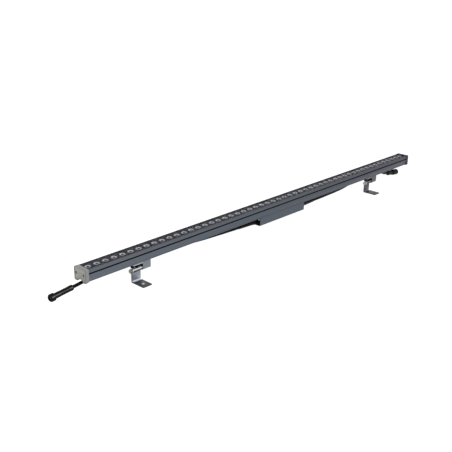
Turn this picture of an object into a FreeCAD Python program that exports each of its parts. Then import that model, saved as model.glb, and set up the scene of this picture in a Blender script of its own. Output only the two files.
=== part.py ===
"""Slim outdoor linear light: a one metre bar of lensed LEDs on two hinged feet.

Millimetres throughout. The bar runs along X. While the pieces are shaped, Z is 0 at the
underside of the aluminium bar and Y is 0 on its middle plane, with the viewer towards -Y.
The finished pieces are then lifted so that the soles of the feet stand at Z = 0.
"""
import FreeCAD, Part
import os
from math import acos, cos, pi, radians, sin, sqrt, tan

Vector = FreeCAD.Vector

# Counts
lens_count = 54
relief_rib_count = 7
grip_rib_count = 6
nut_flute_count = 12
contact_count = 4

# Aluminium bar
lens_pitch = 18.2
bar_width = 29.0
bar_height = 22.0
bar_end_margin = 1.9
bar_length = lens_count * lens_pitch + 2 * bar_end_margin
rim_wall = 1.5
rim_chamfer = 0.35
foot_chamfer = 0.5
channel_wall = 1.8
lip_thickness = 1.8
slot_mouth = 10.0
floor_underside = 11.2
floor_thickness = 1.4
cavity_wall = 3.2
side_groove_height = 14.2
side_groove_width = 1.9
side_groove_depth = 2.0
crease_height = 3.6
crease_width = 0.7
crease_depth = 0.35
port_height = 11.9
port_spread = 10.6
port_radius = 2.5
port_bore = 1.45

# Glass, seal and lens strip
glass_thickness = 2.0
glass_sink = 0.5
seal_width = 0.6
glass_ledge = 0.9
strip_thickness = 1.2
strip_play = 0.1
strip_drop = 0.2
lens_radius = 5.9
lens_foot_radius = 3.4
lens_play = 0.2
lens_rise = 0.1

# Circuit board and chips
board_width = 10.4
board_thickness = 1.5
board_end_margin = 1.2
chip_side = 3.5
chip_height = 1.2

# End caps
cap_thickness = 6.7
cap_overhang = 0.8
cap_drop = 1.9
cap_corner = 2.0
cap_edge = 0.45
notch_width = 15.6
notch_height = 2.6
notch_corner = 2.2
cap_rim = 1.5
cap_pocket_depth = 0.8
badge_width = 10.0
badge_height = 8.4
badge_corner = 3.8
badge_height_share = 0.5
badge_rise = 0.5
gasket_thickness = 0.6
gasket_margin = 2.4
cap_screw_bore = 1.6
cap_screw_shank = 1.35
cap_screw_length = 14.0
cap_head_radius = 2.6
cap_head_height = 1.7
cap_head_play = 0.2
cap_head_sink = 2.0
driver_bit_radius = 1.1
driver_bit_depth = 0.8

# Driver box
case_length = 143.4
case_centre = 6.3
case_height = 17.2
case_wall = 1.8
case_roof = 1.6
case_corner = 1.5
case_ledge_width = 1.1
case_ledge_height = 1.6
case_port_radius = 2.1
case_port_bore = 1.05
case_port_drop = 3.6
case_port_inset = 3.6
end_plate_thickness = 2.0
end_screw_radius = 1.0
end_screw_length = 8.0
end_head_radius = 1.9
end_head_height = 1.2
driver_board_thickness = 1.5
driver_board_end_gap = 4.0
driver_board_play = 0.2
transformer_length = 20.0
transformer_width = 16.0
transformer_height = 8.0
bobbin_length = 12.0
bobbin_width = 18.0
bobbin_height = 6.4
transformer_wire_gap = 18.6
capacitor_radius = 3.9
capacitor_length = 14.0
capacitor_spread = 9.6
capacitor_place_share = -0.2

# Driver box fixings and wires
fixing_spread = 106.0
fixing_radius = 1.95
fixing_head_radius = 3.5
fixing_head_height = 2.4
fixing_bore = 2.1
slot_nut_width = 15.0
slot_nut_height = 2.5
slot_nut_length = 12.0
slot_nut_bore = 2.0
slot_nut_neck = 9.2
slot_nut_neck_gap = 0.2
wire_radius = 0.7
wire_spread = 1.8
wire_fixing_gap = 14.3
wire_floor_bore = 2.5
grommet_radius = 3.0
grommet_bore = 1.9
grommet_flange_radius = 4.0
grommet_flange_height = 0.8

# Glands and strain reliefs
gland_drop = 10.8
gland_thread_radius = 3.4
gland_thread_play = 0.1
gland_thread_length = 5.4
gland_flange_radius = 6.0
gland_flange_length = 3.0
gland_dome_radius = 5.5
gland_dome_length = 6.0
gland_dome_neck = 4.6
locknut_across = 8.6
locknut_height = 2.4
locknut_play = 0.1
relief_length = 39.0
relief_start_radius = 4.9
relief_end_radius = 3.6
relief_groove_depth = 0.7

# Leads
lead_radius = 3.0
left_lead_route = [
    (-140.0, 0.0, -10.0),
    (-180.0, 0.3, -8.3),
    (-222.0, 0.0, -6.2),
    (-262.0, -0.3, -2.2),
    (-298.0, 0.0, 4.6),
    (-334.0, 0.3, 7.7),
    (-382.0, 0.0, 7.8),
    (-428.0, 0.2, 7.5),
    (-464.0, 0.0, 1.4),
    (-491.0, 0.0, -3.45),
    (-515.0, 0.0, -6.4),
]
right_lead_route = [
    (152.0, 0.0, -10.7),
    (184.0, 0.3, -10.0),
    (218.0, 0.0, -9.0),
    (248.0, -0.2, -6.6),
    (274.0, 0.0, -1.4),
    (296.0, 0.2, 5.2),
    (318.0, 0.0, 7.8),
    (348.0, -0.1, 7.9),
    (376.0, 0.1, 7.6),
    (392.0, 0.0, 1.8),
    (405.0, 0.1, -5.6),
    (418.0, 0.0, -10.93),
    (430.0, 0.0, -12.4),
]

# Male connector, on the left lead
male_droop = 7.0
male_length = 45.5
male_rear_radius = 4.3
male_rear_taper = 1.5
male_body_radius = 5.0
male_grip_start = 7.0
male_grip_length = 18.0
male_grip_depth = 0.5
male_ring_start = 35.5
male_ring_length = 9.2
male_ring_radius = 6.8
male_ring_edge = 1.2
male_ring_play = 0.05
male_socket_radius = 4.1
male_socket_depth = 8.0
contact_radius = 0.6
contact_circle = 2.2
contact_length = 6.0

# Female connector, on the right lead
female_droop = 7.0
female_length = 43.0
female_rear_radius = 3.6
female_collar_start = 2.5
female_collar_length = 8.0
female_collar_radius = 6.0
female_body_radius = 5.0
female_stop_start = 25.7
female_stop_length = 1.4
female_stop_radius = 5.6
female_insert_radius = 3.9
female_insert_sink = 3.0
nut_start = 22.5
nut_web = 3.0
nut_outer_radius = 7.0
nut_inner_radius = 5.8
nut_play = 0.05
nut_edge = 1.0
nut_flute_radius = 1.4
nut_flute_depth = 0.45

# Hinge
hinge_drop = 17.4
pivot_radius = 2.0
pivot_play = 0.05
eye_width = 20.9
eye_gap = 0.3
eye_seam_angle = 290.0

# Feet
foot_sheet = 1.8
foot_bend = 0.9
sole_reach = 29.4
sole_drop = 41.5
sole_corner = 2.0
sole_hole_radius = 2.75
sole_hole_inset = 12.4

# Clamps
left_clamp_share = -0.3733
right_clamp_share = 0.361
knuckle_width = 18.3
knuckle_radius = 4.5
shoulder_width = 19.0
shoulder_thickness = 2.5
shoulder_corner = 0.7
shoulder_root = 1.5
clamp_slot_play = 0.1
clamp_neck_top = 1.7
pocket_ceiling = 7.6
pocket_back = 0.3
pocket_web_gap = 0.4
clamp_nut_width = 16.0
clamp_nut_height = 2.5
clamp_nut_length = 24.0
clamp_screw_radius = 1.95
clamp_screw_bore = 2.1
clamp_head_radius = 3.0
clamp_head_height = 5.3
clamp_head_play = 0.3
clamp_key_radius = 1.3
clamp_key_depth = 2.4

# Pivot bolts
bolt_across = 7.0
bolt_head_height = 4.0
bolt_washer_radius = 4.2
bolt_washer_thickness = 1.0
bolt_nut_height = 3.2
bolt_nut_sink = 0.3
bolt_nut_play = 0.1
washer_bore_play = 0.1

# One overrun serves every cut that passes through a wall
overrun = 1.0

# Places worked out from the sizes above
bar_end = bar_length / 2
bar_side = bar_width / 2
cap_end = bar_end + cap_thickness
floor_top = floor_underside + floor_thickness
glass_top = bar_height - glass_sink
glass_seat = glass_top - glass_thickness
glass_side = bar_side - rim_wall
strip_side = glass_side - glass_ledge
strip_top = glass_seat - strip_drop
strip_seat = strip_top - strip_thickness
cavity_side = bar_side - cavity_wall
board_top = floor_top + board_thickness
chip_top = board_top + chip_height
cap_side = bar_side + cap_overhang
cap_top = bar_height + cap_overhang
cap_face_height = cap_top + cap_drop
case_left = case_centre - case_length / 2
case_right = case_centre + case_length / 2
driver_board_under = case_wall + case_ledge_height - case_height
driver_board_top = driver_board_under + driver_board_thickness
slot_nut_top = lip_thickness + slot_nut_height
wire_place = case_centre + fixing_spread / 2 - wire_fixing_gap
relief_reach = gland_flange_length + gland_dome_length + relief_length
left_lead_start = (case_left - relief_reach, 0, -gland_drop)
right_lead_start = (case_right + relief_reach, 0, -gland_drop)
eye_inner = pivot_radius + pivot_play
eye_outer = eye_inner + foot_sheet
left_clamp_place = left_clamp_share * bar_length
right_clamp_place = right_clamp_share * bar_length
lift = sole_drop
shift = (sole_reach - cap_side) / 2


def in_yz(x):
    """Map outline coordinates to width and height at a station along the bar."""
    return lambda a, b: Vector(x, a, b)


def in_xy(z):
    """Map outline coordinates to length and width at one height."""
    return lambda a, b: Vector(a, b, z)


def outline(corners, to_space):
    """Close a wire through corners given as (a, b) or (a, b, corner radius)."""
    count = len(corners)
    entries = []
    for i, corner in enumerate(corners):
        here = to_space(corner[0], corner[1])
        radius = corner[2] if len(corner) > 2 else 0
        if radius == 0:
            entries.append((here, here, here))
            continue
        before = to_space(*corners[i - 1][:2])
        after = to_space(*corners[(i + 1) % count][:2])
        back = (before - here).normalize()
        ahead = (after - here).normalize()
        half = acos(max(-1, min(1, back.dot(ahead)))) / 2
        reach = radius / tan(half)
        middle = (back + ahead).normalize()
        crown = here + middle * (radius / sin(half) - radius)
        entries.append((here + back * reach, crown, here + ahead * reach))
    edges = []
    for i, (start, crown, end) in enumerate(entries):
        if start.distanceToPoint(end) > 0:
            edges.append(Part.Arc(start, crown, end).toShape())
        following = entries[(i + 1) % count][0]
        edges.append(Part.LineSegment(end, following).toShape())
    return Part.Wire(edges)


def prism(corners, to_space, along):
    """Extrude a closed outline along a vector."""
    return Part.Face(outline(corners, to_space)).extrude(along)


def mirrored(half):
    """Complete the +Y half of a section, listed from the bottom up, with its mirror image."""
    return half + [(-a, b, *rest) for a, b, *rest in reversed(half)]


def block(x_low, x_high, half_width, z_low, z_high, corner=0):
    """Make a block centred on the middle plane, with rounded upright corners."""
    corners = [
        (x_low, -half_width, corner),
        (x_high, -half_width, corner),
        (x_high, half_width, corner),
        (x_low, half_width, corner),
    ]
    return prism(corners, in_xy(z_low), Vector(0, 0, z_high - z_low))


def rod(start, direction, length, radius):
    """Make a round bar from a start point."""
    return Part.makeCylinder(radius, length, start, direction)


def hexagon(start, direction, length, across):
    """Make a hexagonal bar with flats across the given size, a flat facing down."""
    corner = across / sqrt(3)
    turn = FreeCAD.Rotation(Vector(0, 0, 1), direction)
    points = []
    for i in range(6):
        angle = (i + 0.5) * pi / 3
        points.append(start + turn.multVec(Vector(corner * cos(angle), corner * sin(angle), 0)))
    face = Part.Face(Part.makePolygon(points + points[:1]))
    return face.extrude(direction * length)


def turned(profile, start, direction):
    """Revolve (distance along the axis, radius) points about an axis through start."""
    points = [Vector(along, radius, 0) for along, radius in profile]
    face = Part.Face(Part.makePolygon(points + points[:1]))
    solid = face.revolve(Vector(0, 0, 0), Vector(1, 0, 0), 360)
    turn = FreeCAD.Rotation(Vector(1, 0, 0), direction)
    solid.Placement = FreeCAD.Placement(start, turn)
    return solid


def fused(shapes):
    """Join overlapping shapes into one clean solid."""
    return shapes[0].multiFuse(shapes[1:]).removeSplitter()


def tube(name, route, radius):
    """Sweep a round section along straight runs joined by the largest tangent arcs."""
    points = [Vector(*place) for place in route]
    edges = []
    radii = []
    last = points[0]
    for before, here, after in zip(points, points[1:], points[2:]):
        back = before - here
        ahead = after - here
        shorter = min(back.Length, ahead.Length)
        reach = 0.45 * shorter
        back.normalize()
        ahead.normalize()
        half = acos(max(-1, min(1, back.dot(ahead)))) / 2
        bend = reach * tan(half)
        radii.append(bend)
        entry = here + back * reach
        leave = here + ahead * reach
        crown = here + (back + ahead).normalize() * (bend / sin(half) - bend)
        edges.append(Part.LineSegment(last, entry).toShape())
        edges.append(Part.Arc(entry, crown, leave).toShape())
        last = leave
    edges.append(Part.LineSegment(last, points[-1]).toShape())
    path = Part.Wire(edges)
    first = points[1] - points[0]
    ring = Part.Wire(Part.Circle(points[0], first, radius).toShape())
    solid = path.makePipeShell([ring], True, False)
    expected = pi * radius * radius * path.Length
    print(name, "length", round(path.Length, 1), "least radius", round(min(radii), 1))
    print(name, "volume over section times length", round(solid.Volume / expected, 4))
    return solid


def bar_profile():
    """Shape the extruded bar: lens cavity above, slotted channel below, ports between."""
    channel_side = bar_side - channel_wall
    groove_low = side_groove_height - side_groove_width / 2
    groove_high = side_groove_height + side_groove_width / 2
    groove_side = bar_side - side_groove_depth
    mouth = slot_mouth / 2
    outside = [
        (mouth, lip_thickness),
        (mouth, 0),
        (bar_side - foot_chamfer, 0),
        (bar_side, foot_chamfer),
        (bar_side, crease_height - crease_width / 2),
        (bar_side - crease_depth, crease_height),
        (bar_side, crease_height + crease_width / 2),
        (bar_side, groove_low),
        (groove_side, groove_low),
        (groove_side, groove_high),
        (bar_side, groove_high),
        (bar_side, bar_height - rim_chamfer),
        (bar_side - rim_chamfer, bar_height),
        (glass_side, bar_height),
        (glass_side, glass_seat),
        (strip_side, glass_seat),
        (strip_side, strip_seat),
        (cavity_side, strip_seat),
        (cavity_side, floor_top),
    ]
    channel = [
        (channel_side, floor_underside),
        (channel_side, lip_thickness),
    ]
    half = channel + outside
    bar = prism(mirrored(half), in_yz(-bar_end), Vector(bar_length, 0, 0))
    start = -bar_end
    along = Vector(1, 0, 0)
    ports = [rod(Vector(start, y, port_height), along, bar_length, port_radius)
             for y in (-port_spread, port_spread)]
    bores = [rod(Vector(start - overrun, y, port_height), along, bar_length + 2 * overrun, port_bore)
             for y in (-port_spread, port_spread)]
    way = rod(Vector(wire_place, 0, 0), Vector(0, 0, 1), bar_height, wire_floor_bore)
    return fused([bar] + ports).cut(bores + [way])


def glass_seal():
    """Shape the rubber frame that holds the glass in the rim."""
    outer = block(-bar_end, bar_end, glass_side, glass_seat, glass_top)
    inner_end = bar_end - seal_width
    inner_side = glass_side - seal_width
    return outer.cut(block(-inner_end, inner_end, inner_side, 0, bar_height))


def lens_places():
    """List the lens stations along the bar."""
    return [(i + 0.5 - lens_count / 2) * lens_pitch for i in range(lens_count)]


def lens_strip():
    """Shape the dark strip with one round hole for each lens."""
    end = bar_end - strip_play
    strip = block(-end, end, strip_side - strip_play, strip_seat, strip_top)
    up = Vector(0, 0, 1)
    holes = [rod(Vector(x, 0, strip_seat - overrun), up, strip_thickness + 2 * overrun,
                 lens_radius + lens_play) for x in lens_places()]
    return strip.cut(Part.makeCompound(holes))


def lens(x):
    """Shape one collimator lens, narrow at the chip and wide at the light face."""
    top = strip_top + lens_rise
    profile = [
        (0, 0),
        (0, lens_foot_radius),
        (strip_seat - chip_top, lens_radius),
        (top - chip_top, lens_radius),
        (top - chip_top, 0),
    ]
    return turned(profile, Vector(x, 0, chip_top), Vector(0, 0, 1))


def chip(x):
    """Shape one light chip on the board."""
    half = chip_side / 2
    return block(x - half, x + half, half, board_top, chip_top)


def cap_outline(margin):
    """List the end cap's outline, drawn in by a margin, with the lead's notch below."""
    side = cap_side - margin
    top = cap_top - margin
    low = margin - cap_drop
    corner = cap_corner - margin
    notch = notch_width / 2 + margin
    half = [
        (notch, notch_height + margin, notch_corner + margin),
        (notch, low),
        (side, low, corner),
        (side, top, corner),
    ]
    return mirrored(half)


def end_cap(side):
    """Shape an end cap: rimmed face, raised plain badge, screw seats and lead notch."""
    out = Vector(side, 0, 0)
    inner = side * bar_end
    face = side * cap_end
    cap = prism(cap_outline(0), in_yz(inner), out * cap_thickness)
    rim_edges = [edge for edge in cap.Edges
                 if all(abs(v.X - face) < cap_edge / 2 for v in edge.Vertexes)]
    cap = cap.makeChamfer(cap_edge, rim_edges)
    pocket = prism(cap_outline(cap_rim), in_yz(face - side * cap_pocket_depth), out * overrun * 2)
    cap = cap.cut(pocket)
    centre = cap_face_height * badge_height_share - cap_drop
    badge = [
        (-badge_width / 2, centre - badge_height / 2, badge_corner),
        (badge_width / 2, centre - badge_height / 2, badge_corner),
        (badge_width / 2, centre + badge_height / 2, badge_corner),
        (-badge_width / 2, centre + badge_height / 2, badge_corner),
    ]
    plate = prism(badge, in_yz(face - side * (cap_pocket_depth + badge_rise)), out * badge_rise * 2)
    cap = cap.fuse(plate).removeSplitter()
    cuts = [gasket_body(side, 0)]
    for y in (-port_spread, port_spread):
        cuts.append(rod(Vector(inner - side * overrun, y, port_height), out,
                        cap_thickness + 2 * overrun, cap_screw_bore))
        cuts.append(rod(Vector(face - side * (cap_head_sink + cap_pocket_depth), y, port_height), out,
                        cap_head_sink + 2 * overrun, cap_head_radius + cap_head_play))
    return cap.cut(cuts)


def gasket_body(side, draw_in):
    """Shape the flat gasket that closes the lens cavity behind an end cap."""
    inner = side * bar_end
    half = glass_side - draw_in
    low = floor_underside - gasket_margin + draw_in
    high = glass_top - draw_in
    corners = [
        (-half, low, gasket_margin),
        (half, low, gasket_margin),
        (half, high, gasket_margin),
        (-half, high, gasket_margin),
    ]
    return prism(corners, in_yz(inner), Vector(side * gasket_thickness, 0, 0))


def end_gasket(side):
    """Pierce the gasket for the cap screws."""
    inner = side * bar_end
    out = Vector(side, 0, 0)
    holes = [rod(Vector(inner - side * overrun, y, port_height), out,
                 gasket_thickness + 2 * overrun, cap_screw_bore)
             for y in (-port_spread, port_spread)]
    return gasket_body(side, strip_play).cut(holes)


def pan_screw(seat, direction, shank_radius, shank_length, head_radius, head_height):
    """Make a pan-head screw; the seat is under its head and direction points out of it."""
    shank = rod(seat, direction * -1, shank_length, shank_radius)
    dome = [
        (0, 0),
        (0, head_radius),
        (head_height * 0.5, head_radius),
        (head_height, head_radius * 0.75),
        (head_height, 0),
    ]
    head = turned(dome, seat, direction)
    bit_depth = min(driver_bit_depth, head_height / 2)
    bit_radius = min(driver_bit_radius, head_radius / 2)
    socket = hexagon(seat + direction * (head_height - bit_depth), direction,
                     bit_depth + overrun, bit_radius * 2)
    return fused([shank, head]).cut(socket)


def cap_screws():
    """Place the four screws of the end caps."""
    screws = []
    for side in (-1, 1):
        seat = side * (cap_end - cap_head_sink - cap_pocket_depth)
        for y in (-port_spread, port_spread):
            screws.append(pan_screw(Vector(seat, y, port_height), Vector(side, 0, 0), cap_screw_shank,
                                    cap_screw_length, cap_head_radius, cap_head_height))
    return Part.makeCompound(screws)


def case_section(length_start, length):
    """Extrude the driver box's outer section."""
    half = [
        (bar_side, -case_height, case_corner),
        (bar_side, 0),
    ]
    return prism(mirrored(half), in_yz(length_start), Vector(length, 0, 0))


def case_port_places():
    """List the screw ports in the driver box's upper corners."""
    y = bar_side - case_port_inset
    return [(-y, -case_port_drop), (y, -case_port_drop)]


def driver_case():
    """Shape the driver box as a hollow section with board ledges and screw ports."""
    start = case_left + end_plate_thickness
    length = case_length - 2 * end_plate_thickness
    inside = bar_side - case_wall
    ledge_top = case_wall + case_ledge_height - case_height
    hollow = [
        (inside - case_ledge_width, case_wall - case_height),
        (inside - case_ledge_width, ledge_top),
        (inside, ledge_top),
        (inside, -case_roof),
    ]
    along = Vector(1, 0, 0)
    space = prism(mirrored(hollow), in_yz(start - overrun), along * (length + 2 * overrun))
    case = case_section(start, length).cut(space)
    ports = [rod(Vector(start, y, z), along, length, case_port_radius) for y, z in case_port_places()]
    bores = [rod(Vector(start - overrun, y, z), along, length + 2 * overrun, case_port_bore)
             for y, z in case_port_places()]
    up = Vector(0, 0, 1)
    low = -case_roof - overrun
    reach = case_roof + 2 * overrun
    bores += [rod(Vector(x, 0, low), up, reach, fixing_bore) for x in fixing_places()]
    bores.append(rod(Vector(wire_place, 0, low), up, reach, grommet_radius))
    return fused([case] + ports).cut(bores)


def end_plate(side):
    """Shape one end plate of the driver box with its gland hole and screw holes."""
    start = case_right - end_plate_thickness if side > 0 else case_left
    plate = case_section(start, end_plate_thickness)
    along = Vector(1, 0, 0)
    reach = end_plate_thickness + 2 * overrun
    cuts = [rod(Vector(start - overrun, 0, -gland_drop), along, reach,
                gland_thread_radius + gland_thread_play)]
    cuts += [rod(Vector(start - overrun, y, z), along, reach, case_port_bore)
             for y, z in case_port_places()]
    return plate.cut(cuts)


def end_plate_screws():
    """Place the screws of both end plates."""
    screws = []
    for side, seat in ((-1, case_left), (1, case_right)):
        for y, z in case_port_places():
            screws.append(pan_screw(Vector(seat, y, z), Vector(side, 0, 0), end_screw_radius,
                                    end_screw_length, end_head_radius, end_head_height))
    return Part.makeCompound(screws)


def driver_board():
    """Shape the driver's circuit board on its ledges."""
    gap = end_plate_thickness + driver_board_end_gap
    half = bar_side - case_wall - driver_board_play
    return block(case_left + gap, case_right - gap, half, driver_board_under, driver_board_top)


def transformer():
    """Shape the transformer: a core with a wider bobbin through it."""
    x = wire_place - transformer_wire_gap
    middle = driver_board_top + transformer_height / 2
    core = block(x - transformer_length / 2, x + transformer_length / 2, transformer_width / 2,
                 driver_board_top, driver_board_top + transformer_height)
    bobbin = block(x - bobbin_length / 2, x + bobbin_length / 2, bobbin_width / 2,
                   middle - bobbin_height / 2, middle + bobbin_height / 2)
    return fused([core, bobbin])


def capacitors():
    """Lay the two round capacitors on the driver board."""
    x = case_centre + case_length * capacitor_place_share
    z = driver_board_top + capacitor_radius
    return Part.makeCompound([
        rod(Vector(x, y, z), Vector(1, 0, 0), capacitor_length, capacitor_radius)
        for y in (-capacitor_spread / 2, capacitor_spread / 2)
    ])


def fixing_places():
    """List the stations of the screws that hold the driver box to the bar."""
    return [case_centre - fixing_spread / 2, case_centre + fixing_spread / 2]


def fixing_screws():
    """Place the screws that pull the driver box up to the bar."""
    length = case_roof + slot_nut_top
    return Part.makeCompound([
        pan_screw(Vector(x, 0, -case_roof), Vector(0, 0, -1), fixing_radius, length,
                  fixing_head_radius, fixing_head_height)
        for x in fixing_places()
    ])


def slot_nut(x, width, length, bottom, top):
    """Shape a nut that bears on the slot's lips, with a neck between them."""
    nut = block(x - length / 2, x + length / 2, width / 2, bottom, top)
    neck = block(x - length / 2, x + length / 2, slot_nut_neck / 2, slot_nut_neck_gap, bottom)
    bore = rod(Vector(x, 0, -overrun), Vector(0, 0, 1), top + 2 * overrun, slot_nut_bore)
    return fused([nut, neck]).cut(bore)


def supply_wires():
    """Run the two wires from the driver board up to the light's board."""
    return Part.makeCompound([
        rod(Vector(wire_place, y, driver_board_top), Vector(0, 0, 1), floor_top - driver_board_top,
            wire_radius)
        for y in (-wire_spread / 2, wire_spread / 2)
    ])


def wire_grommet():
    """Shape the rubber bush in the driver box's roof."""
    low = -case_roof - grommet_flange_height
    profile = [
        (0, grommet_bore),
        (0, grommet_flange_radius),
        (grommet_flange_height, grommet_flange_radius),
        (grommet_flange_height, grommet_radius),
        (-low, grommet_radius),
        (-low, grommet_bore),
    ]
    return turned(profile, Vector(wire_place, 0, low), Vector(0, 0, 1))


def gland_seat(side):
    """Give the point and the outward direction of a gland."""
    x = case_right if side > 0 else case_left
    return Vector(x, 0, -gland_drop), Vector(side, 0, 0)


def gland(side):
    """Shape a cable gland: thread through the plate, flange and domed nose."""
    seat, out = gland_seat(side)
    flange = gland_flange_length
    nose = flange + gland_dome_length
    profile = [
        (-gland_thread_length, 0),
        (-gland_thread_length, gland_thread_radius),
        (0, gland_thread_radius),
        (0, gland_flange_radius),
        (flange, gland_flange_radius),
        (flange, gland_dome_radius),
        (flange + gland_dome_length * 0.6, gland_dome_radius),
        (nose, gland_dome_neck),
        (nose, 0),
    ]
    return turned(profile, seat, out)


def gland_locknut(side):
    """Shape the hexagon nut that holds a gland inside the box."""
    seat, out = gland_seat(side)
    back = seat - out * end_plate_thickness
    body = hexagon(back, out * -1, locknut_height, locknut_across)
    return body.cut(rod(back, out * -1, locknut_height + overrun, gland_thread_radius + locknut_play))


def strain_relief(side):
    """Shape the ribbed sleeve that tapers from the gland to the lead."""
    seat, out = gland_seat(side)
    start = seat + out * (gland_flange_length + gland_dome_length)
    step = relief_length / (relief_rib_count + 1)
    profile = [(0, 0), (0, relief_start_radius)]
    for i in range(relief_rib_count):
        share = (i + 1) / (relief_rib_count + 1)
        radius = relief_start_radius + (relief_end_radius - relief_start_radius) * share
        at = step * (i + 1)
        profile.append((at - step * 0.3, radius))
        profile.append((at - step * 0.1, radius - relief_groove_depth * (1 - share)))
        profile.append((at + step * 0.1, radius - relief_groove_depth * (1 - share)))
        profile.append((at + step * 0.3, radius))
    profile += [(relief_length, relief_end_radius), (relief_length, 0)]
    return turned(profile, start, out)


def male_frame():
    """Give the male connector's rear point and its drooping axis."""
    angle = radians(male_droop)
    return Vector(*left_lead_route[-1]), Vector(-cos(angle), 0, -sin(angle))


def female_frame():
    """Give the female connector's rear point and its drooping axis."""
    angle = radians(female_droop)
    return Vector(*right_lead_route[-1]), Vector(cos(angle), 0, -sin(angle))


def grip_ribs(start, length, radius, depth):
    """List profile points of a row of shallow grip ribs."""
    step = length / grip_rib_count
    points = []
    for i in range(grip_rib_count):
        at = start + step * i
        points.append((at + step * 0.1, radius))
        points.append((at + step * 0.3, radius - depth))
        points.append((at + step * 0.7, radius - depth))
        points.append((at + step * 0.9, radius))
    return points


def male_body():
    """Shape the moulded male connector with its open front barrel."""
    rear, out = male_frame()
    seat = male_body_radius - male_ring_play
    floor = male_length - male_socket_depth
    profile = [(0, 0), (0, male_rear_radius), (male_rear_taper, male_body_radius)]
    profile += grip_ribs(male_grip_start, male_grip_length, male_body_radius, male_grip_depth)
    profile += [
        (male_ring_start, male_body_radius),
        (male_ring_start, seat),
        (male_length, seat),
        (male_length, male_socket_radius),
        (floor, male_socket_radius),
        (floor, 0),
    ]
    return turned(profile, rear, out)


def male_ring():
    """Shape the raised ring on the male connector."""
    rear, out = male_frame()
    end = male_ring_start + male_ring_length
    profile = [
        (male_ring_start, male_body_radius),
        (male_ring_start, male_ring_radius - male_ring_edge),
        (male_ring_start + male_ring_edge, male_ring_radius),
        (end - male_ring_edge, male_ring_radius),
        (end, male_ring_radius - male_ring_edge),
        (end, male_body_radius),
    ]
    return turned(profile, rear, out)


def male_contacts():
    """Place the round contacts on the floor of the male barrel."""
    rear, out = male_frame()
    across = Vector(0, 1, 0)
    upward = out.cross(across)
    pins = []
    for i in range(contact_count):
        angle = (i + 0.5) * 2 * pi / contact_count
        offset = across * (contact_circle * cos(angle)) + upward * (contact_circle * sin(angle))
        base = rear + out * (male_length - male_socket_depth) + offset
        pins.append(rod(base, out, contact_length, contact_radius))
    return Part.makeCompound(pins)


def female_body():
    """Shape the moulded female connector: collar, barrel, stop and pierced insert."""
    rear, out = female_frame()
    collar_end = female_collar_start + female_collar_length
    stop_end = female_stop_start + female_stop_length
    tip = female_length - female_insert_sink
    profile = [
        (0, 0),
        (0, female_rear_radius),
        (female_collar_start, female_collar_radius),
        (collar_end, female_collar_radius),
        (collar_end, female_body_radius),
        (female_stop_start, female_body_radius),
        (female_stop_start, female_stop_radius),
        (stop_end, female_stop_radius),
        (stop_end, female_insert_radius),
        (tip, female_insert_radius),
        (tip, 0),
    ]
    return turned(profile, rear, out)


def coupling_nut():
    """Shape the fluted nut that turns on the female connector."""
    rear, out = female_frame()
    profile = [
        (nut_start, female_body_radius + nut_play),
        (nut_start, nut_outer_radius - nut_edge),
        (nut_start + nut_edge, nut_outer_radius),
        (female_length - nut_edge, nut_outer_radius),
        (female_length, nut_outer_radius - nut_edge),
        (female_length, nut_inner_radius),
        (nut_start + nut_web, nut_inner_radius),
        (nut_start + nut_web, female_body_radius + nut_play),
    ]
    nut = turned(profile, rear, out)
    across = Vector(0, 1, 0)
    upward = out.cross(across)
    circle = nut_outer_radius + nut_flute_radius - nut_flute_depth
    flutes = []
    for i in range(nut_flute_count):
        angle = i * 2 * pi / nut_flute_count
        offset = across * (circle * cos(angle)) + upward * (circle * sin(angle))
        flutes.append(rod(rear + out * (nut_start + nut_edge * 2) + offset, out,
                          female_length - nut_start - 4 * nut_edge, nut_flute_radius))
    return nut.cut(flutes)


def eye_start(place):
    """Give the station of a foot's outer side from the clamp's dividing face."""
    return place - eye_gap - eye_width


def foot(place):
    """Bend a foot from one sheet: rolled eye, upright, bend and pierced sole."""
    start = eye_start(place)
    axis = -hinge_drop
    low = -sole_drop
    bend_out = foot_bend + foot_sheet

    def at(radius, angle):
        turn = radians(angle)
        return Vector(start, radius * cos(turn), axis + radius * sin(turn))

    def bend_point(radius):
        centre_y = eye_inner - foot_bend
        centre_z = low + bend_out
        return Vector(start, centre_y + radius * cos(pi / 4), centre_z - radius * sin(pi / 4))

    back_low = Vector(start, eye_outer, low + bend_out)
    under_back = Vector(start, eye_outer - bend_out, low)
    under_front = Vector(start, -sole_reach, low)
    top_front = Vector(start, -sole_reach, low + foot_sheet)
    top_back = Vector(start, eye_inner - foot_bend, low + foot_sheet)
    front_low = Vector(start, eye_inner, low + bend_out)
    half_seam = eye_seam_angle / 2
    edges = [
        Part.LineSegment(at(eye_outer, 0), back_low).toShape(),
        Part.Arc(back_low, bend_point(bend_out), under_back).toShape(),
        Part.LineSegment(under_back, under_front).toShape(),
        Part.LineSegment(under_front, top_front).toShape(),
        Part.LineSegment(top_front, top_back).toShape(),
        Part.Arc(top_back, bend_point(foot_bend), front_low).toShape(),
        Part.LineSegment(front_low, at(eye_inner, 0)).toShape(),
        Part.Arc(at(eye_inner, 0), at(eye_inner, half_seam), at(eye_inner, eye_seam_angle)).toShape(),
        Part.LineSegment(at(eye_inner, eye_seam_angle), at(eye_outer, eye_seam_angle)).toShape(),
        Part.Arc(at(eye_outer, eye_seam_angle), at(eye_outer, half_seam), at(eye_outer, 0)).toShape(),
    ]
    sheet = Part.Face(Part.Wire(edges)).extrude(Vector(eye_width, 0, 0))
    corners = [edge for edge in sheet.Edges
               if all(abs(v.Y + sole_reach) < foot_bend for v in edge.Vertexes)
               and abs(edge.Vertexes[0].X - edge.Vertexes[-1].X) < foot_bend
               and edge.Length < 2 * foot_sheet]
    sheet = sheet.makeFillet(sole_corner, corners)
    hole = rod(Vector(start + eye_width / 2, sole_hole_inset - sole_reach, low - overrun),
               Vector(0, 0, 1), foot_sheet + 2 * overrun, sole_hole_radius)
    return sheet.cut(hole)


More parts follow.
